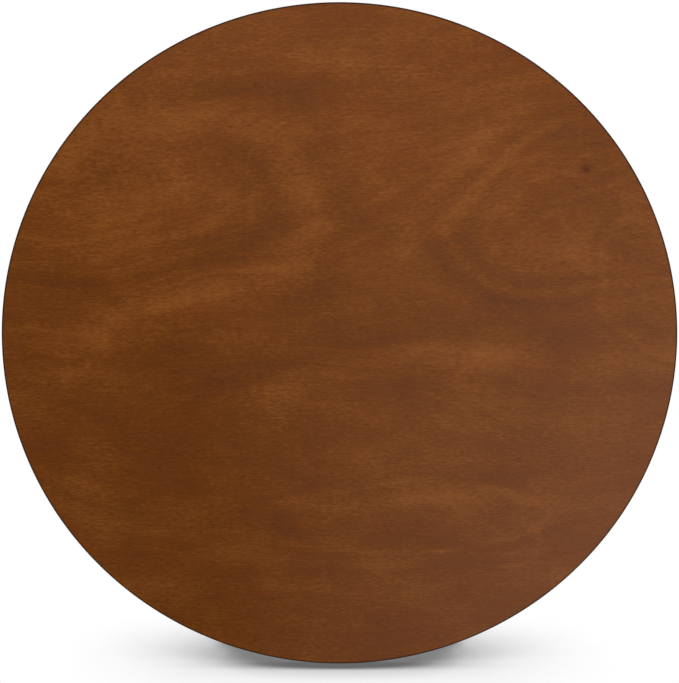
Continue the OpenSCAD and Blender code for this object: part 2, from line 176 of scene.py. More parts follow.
def add(tree, kind, inputs=None, **settings):
    """One shader node with its settings. Inputs are values, or nodes or sockets to link from."""
    node = tree.nodes.new(kind)
    for name, value in settings.items():
        setattr(node, name, value)
    for socket, value in (inputs or {}).items():
        if isinstance(value, bpy.types.Node):
            value = value.outputs[0]
        if isinstance(value, bpy.types.NodeSocket):
            tree.links.new(value, node.inputs[socket])
        else:
            node.inputs[socket].default_value = value
    return node


def new_material(name):
    """An empty material with its output and one Principled shader, as (material, tree, shader)."""
    material = bpy.data.materials.new(name)
    material.use_nodes = True
    tree = material.node_tree
    tree.nodes.clear()
    shader = add(tree, "ShaderNodeBsdfPrincipled")
    add(tree, "ShaderNodeOutputMaterial", {"Surface": shader})
    return material, tree, shader


def grain_place(tree, origin, turn):
    """Object coordinates in millimetres from origin, turned so that X runs along the grain."""
    coordinates = add(tree, "ShaderNodeTexCoord")
    return add(tree, "ShaderNodeMapping", {
        "Vector": coordinates.outputs["Object"], "Location": [v * MM for v in origin],
        "Rotation": turn, "Scale": (MM, MM, MM)}, vector_type="TEXTURE")


def stain(tree, tone, dark, middle, light):
    """Walnut stain over the wood's own tone: 0 is its darkest grain, 1 its palest."""
    ramp = add(tree, "ShaderNodeValToRGB", {"Fac": tone})
    ramp.color_ramp.elements[0].color = sunlit(dark)
    ramp.color_ramp.elements[1].color = sunlit(light)
    ramp.color_ramp.elements.new(0.5).color = sunlit(middle)
    return ramp


def solid_walnut(name, origin, turn, pith):
    """Sawn walnut, stained and satin lacquered: growth rings round a pith outside the piece, about
    7 mm apart and wandering along the grain, with pores 12 mm long. Real pores are a third of a
    millimetre wide and wouldn't show, so they are drawn 1 mm wide."""
    ring_spacing = 7.0
    material, tree, shader = new_material(name)
    place = grain_place(tree, origin, turn)
    wander = add(tree, "ShaderNodeTexNoise", {
        "Vector": add(tree, "ShaderNodeMapping", {"Vector": place, "Scale": (1 / 180, 1 / 60, 1 / 60)}),
        "Scale": 1.0, "Detail": 2.0})
    bent = add(tree, "ShaderNodeVectorMath", {
        0: wander.outputs["Color"], 1: (0, 34, 34), 2: place}, operation="MULTIPLY_ADD")
    from_pith = add(tree, "ShaderNodeMapping", {
        "Vector": bent, "Location": [-v for v in pith], "Scale": (0.02, 1, 1)})
    radius = add(tree, "ShaderNodeVectorMath", {0: from_pith}, operation="LENGTH")
    rings_out = add(tree, "ShaderNodeMath", {
        0: radius.outputs["Value"], 1: ring_spacing}, operation="DIVIDE")
    ring = add(tree, "ShaderNodeMath", {0: rings_out}, operation="FRACT")
    late_wood = add(tree, "ShaderNodeMapRange", {
        "Value": ring, "From Min": 0.25, "From Max": 1.0, "To Min": 0.09, "To Max": -0.13},
        interpolation_type="SMOOTHSTEP")
    cloud = add(tree, "ShaderNodeTexNoise", {
        "Vector": add(tree, "ShaderNodeMapping", {"Vector": place, "Scale": (1 / 90, 1 / 26, 1 / 26)}),
        "Scale": 1.0, "Detail": 3.0})
    pores = add(tree, "ShaderNodeTexNoise", {
        "Vector": add(tree, "ShaderNodeMapping", {"Vector": place, "Scale": (1 / 12, 1 / 0.9, 1 / 0.9)}),
        "Scale": 1.0, "Detail": 2.0})
    pore_depth = add(tree, "ShaderNodeMapRange", {
        "Value": pores, "From Min": 0.60, "From Max": 0.72, "To Min": 0.0, "To Max": 1.0})
    fibre = add(tree, "ShaderNodeTexNoise", {
        "Vector": add(tree, "ShaderNodeMapping", {"Vector": place, "Scale": (1 / 30, 1 / 2, 1 / 2)}),
        "Scale": 1.0, "Detail": 4.0})
    tone = add(tree, "ShaderNodeMath", {0: cloud, 1: 0.55, 2: 0.02}, operation="MULTIPLY_ADD")
    tone = add(tree, "ShaderNodeMath", {0: fibre, 1: 0.28, 2: tone}, operation="MULTIPLY_ADD")
    tone = add(tree, "ShaderNodeMath", {0: tone, 1: late_wood}, operation="ADD")
    tone = add(tree, "ShaderNodeMath", {0: pore_depth, 1: -0.16, 2: tone}, operation="MULTIPLY_ADD")
    colour = stain(tree, tone, "#49220A", "#6E3A12", "#8E5521")
    rough = add(tree, "ShaderNodeMath", {0: pore_depth, 1: 0.12, 2: 0.40}, operation="MULTIPLY_ADD")
    dent = add(tree, "ShaderNodeBump", {
        "Height": pore_depth, "Distance": 0.00008, "Strength": 0.6}, invert=True)
    tree.links.new(colour.outputs[0], shader.inputs["Base Color"])
    tree.links.new(rough.outputs[0], shader.inputs["Roughness"])
    tree.links.new(dent.outputs[0], shader.inputs["Normal"])
    shader.inputs["Specular IOR Level"].default_value = 0.25
    return material


def dress(made, material, body, slot, *nodes):
    """Gives a new piece its material, the body it rides on and the CAD pieces it stands for."""
    made.data.materials.clear()
    made.data.materials.append(material)
    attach(made, body)
    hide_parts(*nodes)


def dress_node(node, material):
    """Gives a CAD piece, whose shape stays, its material."""
    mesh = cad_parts[node].data
    mesh.materials.clear()
    mesh.materials.append(material)


upright = (0, -math.pi / 2, 0)
pillar = piece("turned_pillar", [(pillar_grid(), True, False)])
pillar_walnut = solid_walnut("pillar_walnut", (0, pillar_y, 0), upright, pith=(0, 12, 20))
dress(pillar, pillar_walnut, "base", "stained_walnut", "pillar")

# ---- Legs ----
# Four legs sawn from walnut plank, swept out and down in an ogee from the hub to a small flat toe,
# with rounded arrises. Each is dowelled to its flat on the hub.

leg_t = 26
leg_reach = ((leg_high[0] + leg_high[1] - pillar_y) / math.sqrt(2)) - leg_t / 2
toe_z = leg_low[2]
toe_h = 22
toe_len = 34
leg_arris = 3.5
spider_reach = root_r + 52


def bezier(controls, steps):
    """Cubic curve through four control points, as weights of powers of the share along it."""
    t = np.linspace(0, 1, steps)[:, None]
    p = np.array(controls, float)
    return (1 - t) ** 3 * p[0] + 3 * (1 - t) ** 2 * t * p[1] + 3 * (1 - t) * t ** 2 * p[2] + t ** 3 * p[3]


def even(line, count):
    """The same polyline with count points at even distances along it."""
    step = np.hypot(*np.diff(line, axis=0).T)
    along = np.concatenate([[0], np.cumsum(step)])
    want = np.linspace(0, along[-1], count)
    return np.stack([np.interp(want, along, line[:, i]) for i in (0, 1)], axis=1)


def leg_grid(angle_deg, stations=110):
    """A rounded rectangle carried along the leg: at each station its height runs between the lower
    and the upper curve, its width is the plank's, and over the last few millimetres it shrinks by a
    quarter circle to round the toe."""
    span = leg_reach - root_r
    upper = bezier([
        (root_r, leg_root_top), (root_r + 0.40 * span, leg_root_top - 2),
        (root_r + 0.58 * span, toe_z + toe_h + 10), (leg_reach, toe_z + toe_h)], 80)
    under = bezier([
        (spider_reach, leg_rise), (spider_reach + 0.22 * span, leg_rise),
        (leg_reach - toe_len - 0.22 * span, toe_z + 3), (leg_reach - toe_len, toe_z)], 80)
    under = np.vstack([[[root_r, leg_rise]], under, [[leg_reach, toe_z]]])
    upper, under = even(upper, stations), even(under, stations)
    nose = np.clip((upper[:, 0] - (leg_reach - leg_arris)) / leg_arris, 0, 1)
    shrink = leg_arris * (1 - np.sqrt(1 - nose ** 2))
    middle, half = (upper + under) / 2, (upper - under) / 2
    tall = np.linalg.norm(half, axis=1)
    turn = np.concatenate([np.radians(np.linspace(a, a + 90, 7)) for a in (0, 90, 180, 270)])
    side_x = np.repeat([1, -1, -1, 1], 7) * (leg_t / 2 - leg_arris)
    side_y = np.repeat([1, 1, -1, -1], 7)
    wide = side_x + leg_arris * np.cos(turn)
    wide = wide[None, :] - np.sign(wide)[None, :] * shrink[:, None]
    high = side_y[None, :] * (tall - leg_arris)[:, None] + leg_arris * np.sin(turn)[None, :]
    high = high - np.sign(high) * shrink[:, None]
    axis = half / tall[:, None]
    out = middle[:, None, :] + high[:, :, None] * axis[:, None, :]
    loop = np.stack([out[:, :, 0], wide, out[:, :, 1]], axis=-1)
    ends = [np.repeat(loop[i].mean(axis=0)[None, None], loop.shape[1], axis=1) for i in (0, -1)]
    loop = np.concatenate([ends[0], loop, ends[1]], axis=0)
    a = math.radians(angle_deg)
    x = loop[:, :, 0] * math.cos(a) - loop[:, :, 1] * math.sin(a)
    y = loop[:, :, 0] * math.sin(a) + loop[:, :, 1] * math.cos(a)
    return np.stack([x, y + pillar_y, loop[:, :, 2]], axis=-1)


# Each leg comes from another part of the plank, so the pith of its rings lies elsewhere
for where, angle in zip(("front_left", "front_right", "back_right", "back_left"), leg_angles):
    leg = piece(f"swept_leg_{where}", [(leg_grid(angle), False, True)], sharp_deg=50)
    leg_walnut = solid_walnut(
        f"leg_walnut_{where}", (0, pillar_y, 0), (0, 0, math.radians(angle)), pith=(0, angle / 9, 170))
    dress(leg, leg_walnut, "base", "stained_walnut", f"leg_{where}")

# ---- Dowels and wedge ----
# Fluted beech dowels join the legs to the hub, and a beech wedge spreads the pillar's tenon in the
# block. Both are raw: only the wedge's end shows, flush in the top of the block.

# Raw beech: pale, with short darker flecks and no gloss
beech, tree, shader = new_material("raw_beech")
place = grain_place(tree, (0, pillar_y, 0), upright)
flecks = add(tree, "ShaderNodeTexNoise", {
    "Vector": add(tree, "ShaderNodeMapping", {"Vector": place, "Scale": (1 / 6, 1 / 0.8, 1 / 0.8)}),
    "Scale": 1.0, "Detail": 3.0})
ramp = add(tree, "ShaderNodeValToRGB", {"Fac": flecks})
ramp.color_ramp.elements[0].position = 0.35
ramp.color_ramp.elements[0].color = sunlit("#A9784C")
ramp.color_ramp.elements[1].position = 0.62
ramp.color_ramp.elements[1].color = sunlit("#D0A77C")
tree.links.new(ramp.outputs[0], shader.inputs["Base Color"])
shader.inputs["Roughness"].default_value = 0.62
for node in ("leg_dowels", "tenon_wedge"):
    dress_node(node, beech)

# ---- Plate under the hub ----
# A four-armed plate cut from 3 mm steel and powder coated black, screwed up into the hub and the
# legs so that they can't spread.


def eased(node, name, width):
    """A CAD piece with its long arrises rounded over: its triangles are merged, flat faces joined, and
    a bevel runs along sharp edges longer than the chords of any bore."""
    longest_chord = 1.3
    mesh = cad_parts[node].data.copy()
    mesh.name = name
    body = bmesh.new()
    body.from_mesh(mesh)
    bmesh.ops.remove_doubles(body, verts=body.verts, dist=0.002 * MM)
    bmesh.ops.dissolve_limit(
        body, angle_limit=math.radians(0.3), verts=body.verts, edges=body.edges)
    weight = body.edges.layers.float.new("bevel_weight_edge")
    for edge in body.edges:
        long_enough = edge.calc_length() > longest_chord * MM
        edge[weight] = float(long_enough and edge.calc_face_angle(0) > math.radians(25))
    body.to_mesh(mesh)
    body.free()
    if "custom_normal" in mesh.attributes:
        mesh.attributes.remove(mesh.attributes["custom_normal"])
    mesh.shade_smooth()
    mesh.set_sharp_from_angle(angle=math.radians(30))
    made = bpy.data.objects.new(name, mesh)
    bpy.context.scene.collection.objects.link(made)
    bevel = made.modifiers.new("arris", "BEVEL")
    bevel.limit_method = "WEIGHT"
    bevel.width = width * MM
    bevel.segments = 3
    bevel.use_clamp_overlap = False
    bevel.harden_normals = True
    return made


# Powder coat: an even black with a fine orange peel that spreads its gloss
powder_coat, tree, shader = new_material("black_powder_coat")
coordinates = add(tree, "ShaderNodeTexCoord")
peel = add(tree, "ShaderNodeTexNoise", {
    "Vector": coordinates.outputs["Object"], "Scale": 1 / (1.4 * MM), "Detail": 2.0})
tint = add(tree, "ShaderNodeMapRange", {
    "Value": peel, "From Min": 0.3, "From Max": 0.7, "To Min": 0.85, "To Max": 1.15})
colour = add(tree, "ShaderNodeVectorMath", {
    0: sunlit("#1D1D1E")[:3], "Scale": tint.outputs[0]}, operation="SCALE")
tree.links.new(colour.outputs[0], shader.inputs["Base Color"])
dent = add(tree, "ShaderNodeBump", {"Height": peel, "Distance": 0.00006, "Strength": 0.5})
tree.links.new(dent.outputs[0], shader.inputs["Normal"])
shader.inputs["Roughness"].default_value = 0.5
hub_plate = eased("spider_plate", "hub_plate", 0.4)
dress(hub_plate, powder_coat, "base", "black_steel", "spider_plate")

# ---- Steel fasteners ----
# Screws, nails, washers and pivot bolts in bright zinc-plated steel, whose plating shows faint
# clouds. The washers are stamped and the bolts have chamfered hexagon heads.

# Zinc plate: a pale grey metal, half bright, that turns duller where the clouds are light
zinc, tree, shader = new_material("zinc_plated_steel")
coordinates = add(tree, "ShaderNodeTexCoord")
clouds = add(tree, "ShaderNodeTexNoise", {
    "Vector": coordinates.outputs["Object"], "Scale": 1 / (5 * MM), "Detail": 3.0})
colour = add(tree, "ShaderNodeValToRGB", {"Fac": clouds})
colour.color_ramp.elements[0].position = 0.3
colour.color_ramp.elements[0].color = sunlit("#A7A9AC")
colour.color_ramp.elements[1].position = 0.7
colour.color_ramp.elements[1].color = sunlit("#C3C4C4")
rough = add(tree, "ShaderNodeMapRange", {
    "Value": clouds, "From Min": 0.3, "From Max": 0.7, "To Min": 0.30, "To Max": 0.44})
tree.links.new(colour.outputs[0], shader.inputs["Base Color"])
tree.links.new(rough.outputs[0], shader.inputs["Roughness"])
shader.inputs["Metallic"].default_value = 1.0
for node in ("spider_screws", "glide_nails", "bearer_screws"):
    dress_node(node, zinc)

washer_r = 11
washer_t = 1.6
bolt_r = 5
bore_gap = 0.02
thrust_low, thrust_high = corners("thrust_washers")
pivot_y, pivot_z = ((thrust_low + thrust_high) / 2)[1:]


def on_pivot(grid, side, start_x):
    """A turned surface laid on the pivot axis: its height runs outwards from start_x on one side."""
    out = grid[:, :, [2, 0, 1]] * [side, 1, 1]
    return out + [side * start_x, pivot_y, pivot_z]


stamped_edge = 0.4
washer_profile = np.vstack([
    [[bolt_r + bore_gap, 0]],
    arc(washer_r - stamped_edge, stamped_edge, stamped_edge, -90, 0, 5),
    arc(washer_r - stamped_edge, washer_t - stamped_edge, stamped_edge, 0, 90, 5),
    [[bolt_r + bore_gap, washer_t], [bolt_r + bore_gap, 0]]])
for node in ("thrust_washers", "head_washers"):
    inner_x = corners(node)[1][0] - washer_t
    washers = piece(f"stamped_{node}", [
        (on_pivot(turned(washer_profile), side, inner_x), True, False) for side in (-1, 1)])
    dress(washers, zinc, "base", "zinced_steel", node)

bolt_low, bolt_high = corners("pivot_bolt_right")
head_h = 6.4
head_r = 9.8
shank_x = bolt_high[0] - head_h


def bolt_grid():
    """Shank, then a hexagon whose radius is its inner radius over the cosine of the angle from the
    nearest flat, or the 30 degree chamfer's cone where that is smaller."""
    length = shank_x - bolt_low[0]
    flat_r = head_r * math.cos(math.radians(30))
    chamfer = np.linspace(0, head_h, 15)
    profile = np.vstack([
        [[0, 0], [bolt_r - 0.8, 0], [bolt_r, 0.8], [bolt_r, length]],
        np.stack([np.full(15, head_r), length + chamfer], axis=1),
        [[flat_r - 0.4, length + head_h], [0, length + head_h]]])
    grid = turned(profile, 216)
    turn = np.arctan2(grid[:, :, 1], grid[:, :, 0])
    off_flat = np.radians((np.degrees(turn) + 30) % 60 - 30)
    hexagon = flat_r / np.cos(off_flat)
    cone = flat_r - 0.4 + (length + head_h - grid[:, :, 2]) / math.tan(math.radians(30))
    radius = np.hypot(grid[:, :, 0], grid[:, :, 1])
    in_head = radius > bolt_r + 0.5
    wanted = np.where(in_head, np.minimum(radius, np.minimum(hexagon, cone)), radius)
    grid[:, :, :2] *= (wanted / np.maximum(radius, 1e-9))[:, :, None]
    return grid


for side, where in ((-1, "left"), (1, "right")):
    bolt = piece(f"hex_bolt_{where}", [(on_pivot(bolt_grid(), side, bolt_low[0]), True, False)])
    dress(bolt, zinc, "base", "zinced_steel", f"pivot_bolt_{where}")

# ---- Brass fittings on the base ----
# Threaded inserts in the block's sides, and on its rear face the keeper plate and screws for the
# catch. Brushed and clear lacquered brass, a little darker where it has been handled.

# Brass: a warm yellow metal, brushed in fine lines that make its gloss uneven
brass, tree, shader = new_material("lacquered_brass")
coordinates = add(tree, "ShaderNodeTexCoord")
brushing = add(tree, "ShaderNodeTexNoise", {
    "Vector": add(tree, "ShaderNodeMapping", {
        "Vector": coordinates.outputs["Object"], "Scale": (1 / (9 * MM), 1 / (0.3 * MM), 1 / (0.3 * MM))}),
    "Scale": 1.0, "Detail": 2.0})
tarnish = add(tree, "ShaderNodeTexNoise", {
    "Vector": coordinates.outputs["Object"], "Scale": 1 / (11 * MM), "Detail": 3.0})
colour = add(tree, "ShaderNodeValToRGB", {"Fac": tarnish})
colour.color_ramp.elements[0].position = 0.3
colour.color_ramp.elements[0].color = sunlit("#A88343")
colour.color_ramp.elements[1].position = 0.65
colour.color_ramp.elements[1].color = sunlit("#CDA95F")
rough = add(tree, "ShaderNodeMapRange", {
    "Value": brushing, "From Min": 0.3, "From Max": 0.7, "To Min": 0.24, "To Max": 0.38})
tree.links.new(colour.outputs[0], shader.inputs["Base Color"])
tree.links.new(rough.outputs[0], shader.inputs["Roughness"])
shader.inputs["Metallic"].default_value = 1.0
for node in ("pivot_insert_left", "pivot_insert_right", "keeper_screws"):
    dress_node(node, brass)
keeper = eased("keeper_plate", "strike_plate", 0.3)
dress(keeper, brass, "base", "brass", "keeper_plate")

# ---- Block ----
# The block the top tilts on: walnut, flat on top, round over the pivot so the top can turn past it,
# with a sloping front that stops the tipped top. Arrises rounded, tenon glued and wedged.

block = eased("top_block", "pivot_block", 2.0)
block_walnut = solid_walnut("block_walnut", (0, pillar_y, block_low[2]), (0, 0, 0), pith=(0, -30, -90))
dress(block, block_walnut, "base", "stained_walnut", "top_block")

# ---- Felt pads ----
# Pressed wool felt discs, glued in shallow recesses: two on the stop face and two on top, where the
# level top rests. They stand 1 mm proud.

tilt = math.radians(78)
pad_r = 7
pad_h = 2.5
pad_in = 1.5
nose_r = block_high[2] - pivot_z
block_below = pivot_z - block_low[2]
stop_len = (nose_r * math.cos(tilt) + block_below) / math.sin(tilt)


def at_tilt(points):
    """Points from the pivot in the top's own directions, turned by the tilt about the pivot axis."""
    x, y, z = points[..., 0], points[..., 1], points[..., 2]
    return np.stack([
        x,
        pivot_y + y * math.cos(tilt) - z * math.sin(tilt),
        pivot_z + y * math.sin(tilt) + z * math.cos(tilt)], axis=-1)


# Felt: matt and dark, with a soft fuzz that catches light at its edges
felt, tree, shader = new_material("pressed_wool_felt")
coordinates = add(tree, "ShaderNodeTexCoord")
fuzz = add(tree, "ShaderNodeTexNoise", {
    "Vector": coordinates.outputs["Object"], "Scale": 1 / (0.6 * MM), "Detail": 4.0, "Distortion": 1.5})
colour = add(tree, "ShaderNodeValToRGB", {"Fac": fuzz})
colour.color_ramp.elements[0].position = 0.3
colour.color_ramp.elements[0].color = sunlit("#2C2A22")
colour.color_ramp.elements[1].position = 0.7
colour.color_ramp.elements[1].color = sunlit("#4C4939")
dent = add(tree, "ShaderNodeBump", {"Height": fuzz, "Distance": 0.0003, "Strength": 0.8})
tree.links.new(colour.outputs[0], shader.inputs["Base Color"])
tree.links.new(dent.outputs[0], shader.inputs["Normal"])
shader.inputs["Roughness"].default_value = 0.95
shader.inputs["Specular IOR Level"].default_value = 0.1
shader.inputs["Sheen Weight"].default_value = 0.25
felt_edge = 0.6
disc = turned(np.vstack([
    [[0, 0], [pad_r, 0]],
    arc(pad_r - felt_edge, pad_h - felt_edge, felt_edge, 0, 90, 6),
    [[0, pad_h]]]), 72)
pad_low, pad_high = corners("rest_pads")
rest_pads = piece("rest_pad_discs", [
    (disc + [side * (pad_high[0] - pad_r), (pad_low[1] + pad_high[1]) / 2, pad_low[2]], True, False)
    for side in (-1, 1)])
pad_low, pad_high = corners("stop_pads")
stop_pads = piece("stop_pad_discs", [
    (at_tilt(disc + [side * (pad_high[0] - pad_r), -stop_len / 2, nose_r - pad_in]), True, False)
    for side in (-1, 1)])
dress(rest_pads, felt, "base", "felt", "rest_pads")
dress(stop_pads, felt, "base", "felt", "stop_pads")

# ---- Foot glides ----
# Black nylon discs under the toes, moulded with a soft edge and a hollow for the nail that holds
# each one.

glide_r = 11
glide_t = 5
glide_at = leg_reach - toe_len / 2
nail_bore_r = 1.52

# Nylon: black, with a fine eroded mould texture and a dull gloss
nylon, tree, shader = new_material("moulded_black_nylon")
coordinates = add(tree, "ShaderNodeTexCoord")
mould = add(tree, "ShaderNodeTexNoise", {
    "Vector": coordinates.outputs["Object"], "Scale": 1 / (0.8 * MM), "Detail": 2.0})
tint = add(tree, "ShaderNodeMapRange", {
    "Value": mould, "From Min": 0.3, "From Max": 0.7, "To Min": 0.85, "To Max": 1.15})
colour = add(tree, "ShaderNodeVectorMath", {
    0: sunlit("#232221")[:3], "Scale": tint.outputs[0]}, operation="SCALE")
dent = add(tree, "ShaderNodeBump", {"Height": mould, "Distance": 0.00005, "Strength": 0.5})
tree.links.new(colour.outputs[0], shader.inputs["Base Color"])
tree.links.new(dent.outputs[0], shader.inputs["Normal"])
shader.inputs["Roughness"].default_value = 0.55
glide_profile = np.vstack([
    [[nail_bore_r, 1.5], [4, 1.5], [4, 0]],
    arc(glide_r - 2.6, 1.6, 1.6, -90, -50, 6),
    arc(glide_r - 0.8, 2.6, 0.8, -40, 0, 4),
    arc(glide_r - 0.8, glide_t - 0.8, 0.8, 0, 90, 6),
    [[nail_bore_r, glide_t], [nail_bore_r, 1.5]]])
glides = piece("moulded_glides", [
    (turned(glide_profile, 72) + [
        glide_at * math.cos(math.radians(a)), pillar_y + glide_at * math.sin(math.radians(a)), 0],
     True, False)
    for a in leg_angles])
dress(glides, nylon, "base", "glide_nylon", "foot_glides")

# ---- Board inside the top ----
# The core under the veneers is medium-density fibreboard. It shows only inside the screw holes.

board, tree, shader = new_material("fibreboard")
coordinates = add(tree, "ShaderNodeTexCoord")
fibres = add(tree, "ShaderNodeTexNoise", {
    "Vector": coordinates.outputs["Object"], "Scale": 1 / (1.2 * MM), "Detail": 3.0})
colour = add(tree, "ShaderNodeValToRGB", {"Fac": fibres})
colour.color_ramp.elements[0].color = sunlit("#80623F")
colour.color_ramp.elements[1].color = sunlit("#AD8C63")
tree.links.new(colour.outputs[0], shader.inputs["Base Color"])
shader.inputs["Roughness"].default_value = 0.85
dress_node("top_core", board)

# ---- Veneered faces ----
# Rotary-cut walnut veneer, 0.6 mm thick, on both faces: one wide sheet whose growth rings meet the
# surface as wandering loops and lenses round low places in the log. Stained and matt lacquered.

band_low, band_high = corners("edge_band")
top_r = (band_high[0] - band_low[0]) / 2
top_t = 22
veneer_t = 0.6
rim_round = 1.0
pivot_ahead = 115
pivot_drop = 30
level = (tilt, 0, 0)
face_middle = at_tilt(np.array([0.0, pivot_ahead, pivot_drop + top_t]))
back_middle = at_tilt(np.array([0.0, pivot_ahead, pivot_drop]))
cut_deg = math.degrees(math.asin((rim_round - veneer_t) / rim_round))


def under_top(points):
    """Points from the middle of the top's underside, in the top's own directions."""
    return at_tilt(points + [0, pivot_ahead, pivot_drop])


face_profile = np.vstack([
    [[0, top_t - veneer_t]],
    arc(top_r - rim_round, top_t - rim_round, rim_round, cut_deg, 90, 7),
    [[top_r / 2, top_t], [0, top_t]]])
back_profile = face_profile * [1, -1] + [0, top_t]

# At the rim the sheets are taken almost to black: darker stain where they are sanded over, and painted
# shade where the rounded edge turns from the light
rim_stain_and_shade = "#1E0D05"


def veneer(name, middle, hills, rings, patches, knots, stains):
    """Veneer on one face. Its growth field is the distance across the sheet plus a smooth hill or
    hollow for each place where the log was thick or thin, so lines of equal growth bend into loops.
    A noise read along that field gives soft bands, and narrow lines where it crosses its own middle
    value. Fibres and pores run along the grain, carried a little by the field. They are a few tenths
    of a millimetre wide in the wood and are drawn 1 to 3 mm wide, the finest that shows."""
    material, tree, shader = new_material(name)
    place = grain_place(tree, middle, level)
    drift = add(tree, "ShaderNodeTexNoise", {
        "Vector": add(tree, "ShaderNodeMapping", {"Vector": place, "Scale": (1 / 240, 1 / 150, 0)}),
        "Scale": 1.0, "Detail": 1.0, "Roughness": 0.4})
    drift = add(tree, "ShaderNodeVectorMath", {
        0: drift.outputs["Color"], 1: (0.5, 0.5, 0.5)}, operation="SUBTRACT")
    bent = add(tree, "ShaderNodeVectorMath", {
        0: drift, 1: (120, 70, 0), 2: place}, operation="MULTIPLY_ADD")

    def away_from(source, u, v, reach_u, reach_v, turn_deg):
        """Place measured from (u, v) in multiples of two reaches, the first turned by turn_deg."""
        return add(tree, "ShaderNodeMapping", {
            "Vector": source, "Location": (u, v, 0), "Rotation": (0, 0, math.radians(turn_deg)),
            "Scale": (reach_u, reach_v, 1e6)}, vector_type="TEXTURE")

    def hill(source, u, v, reach_u, reach_v, turn_deg=0):
        """1 at its middle, falling as exp(-d squared), with d the distance over its two reaches."""
        away = away_from(source, u, v, reach_u, reach_v, turn_deg)
        square = add(tree, "ShaderNodeVectorMath", {0: away, 1: away}, operation="DOT_PRODUCT")
        return add(tree, "ShaderNodeMath", {0: math.exp(-1), 1: square.outputs["Value"]}, operation="POWER")

    def plus(total, part, amount):
        """The total so far and an amount of one more part."""
        return add(tree, "ShaderNodeMath", {0: part, 1: amount, 2: total}, operation="MULTIPLY_ADD")

    growth = add(tree, "ShaderNodeSeparateXYZ", {0: bent}).outputs["Y"]
    flat_growth = growth
    for u, v, reach_u, reach_v, height in hills:
        growth = plus(growth, hill(bent, u, v, reach_u, reach_v), height)
    lift = add(tree, "ShaderNodeMath", {0: growth, 1: flat_growth}, operation="SUBTRACT")
    split = add(tree, "ShaderNodeSeparateXYZ", {0: place})
    along = split.outputs["X"]
    across = split.outputs["Y"]

    def along_field(spacing, length, detail, offset=0.0):
        """Noise that changes every spacing millimetres over the field, and every length along it."""
        where = add(tree, "ShaderNodeCombineXYZ", {"X": along, "Y": growth, "Z": offset})
        return add(tree, "ShaderNodeTexNoise", {
            "Vector": add(tree, "ShaderNodeMapping", {
                "Vector": where, "Scale": (1 / length, 1 / spacing, 1.0)}),
            "Scale": 1.0, "Detail": detail, "Roughness": 0.5})

    bands = along_field(44, 330, 1.0)
    fine_bands = along_field(13, 170, 1.0, 5.0)
    crossing = add(tree, "ShaderNodeMath", {
        0: along_field(15, 420, 1.0, 9.0), 1: 0.5}, operation="SUBTRACT")
    crossing = add(tree, "ShaderNodeMath", {0: crossing}, operation="ABSOLUTE")
    lines = add(tree, "ShaderNodeMapRange", {
        "Value": crossing, "From Min": 0.0, "From Max": 0.04, "To Min": 1.0, "To Max": 0.0})
    bend = add(tree, "ShaderNodeMath", {0: lift, 1: 0.02}, operation="MULTIPLY")
    bend = add(tree, "ShaderNodeMath", {0: bend}, operation="ABSOLUTE")
    bend = add(tree, "ShaderNodeMath", {0: bend, 1: 1.0}, operation="MINIMUM")
    lines = add(tree, "ShaderNodeMath", {0: lines, 1: bend}, operation="MULTIPLY")
    clouds = add(tree, "ShaderNodeTexNoise", {
        "Vector": add(tree, "ShaderNodeMapping", {"Vector": bent, "Scale": (1 / 140, 1 / 85, 0)}),
        "Scale": 1.0, "Detail": 2.0, "Roughness": 0.5})
    mottle = add(tree, "ShaderNodeTexNoise", {
        "Vector": add(tree, "ShaderNodeMapping", {"Vector": bent, "Scale": (1 / 23, 1 / 17, 0)}),
        "Scale": 1.0, "Detail": 2.0, "Roughness": 0.5})
    carried = plus(across, lift, 0.12)
    ripple = add(tree, "ShaderNodeTexNoise", {
        "Vector": add(tree, "ShaderNodeMapping", {"Vector": place, "Scale": (1 / 26, 1 / 34, 0)}),
        "Scale": 1.0, "Detail": 1.0})
    carried = plus(carried, ripple, 9.0)
    grain = add(tree, "ShaderNodeCombineXYZ", {"X": along, "Y": carried, "Z": 0.0})

    def streaks(length, width, detail):
        """Noise drawn out along the grain, in millimetres."""
        return add(tree, "ShaderNodeTexNoise", {
            "Vector": add(tree, "ShaderNodeMapping", {
                "Vector": grain, "Scale": (1 / length, 1 / width, 1.0)}),
            "Scale": 1.0, "Detail": detail, "Roughness": 0.6})

    pores = add(tree, "ShaderNodeMapRange", {
        "Value": streaks(8.5, 1.4, 0.0), "From Min": 0.60, "From Max": 0.78, "To Min": 0.0, "To Max": 1.0})
    fibre = streaks(9.0, 2.2, 2.0)
    long_fibre = streaks(40.0, 3.4, 2.0)

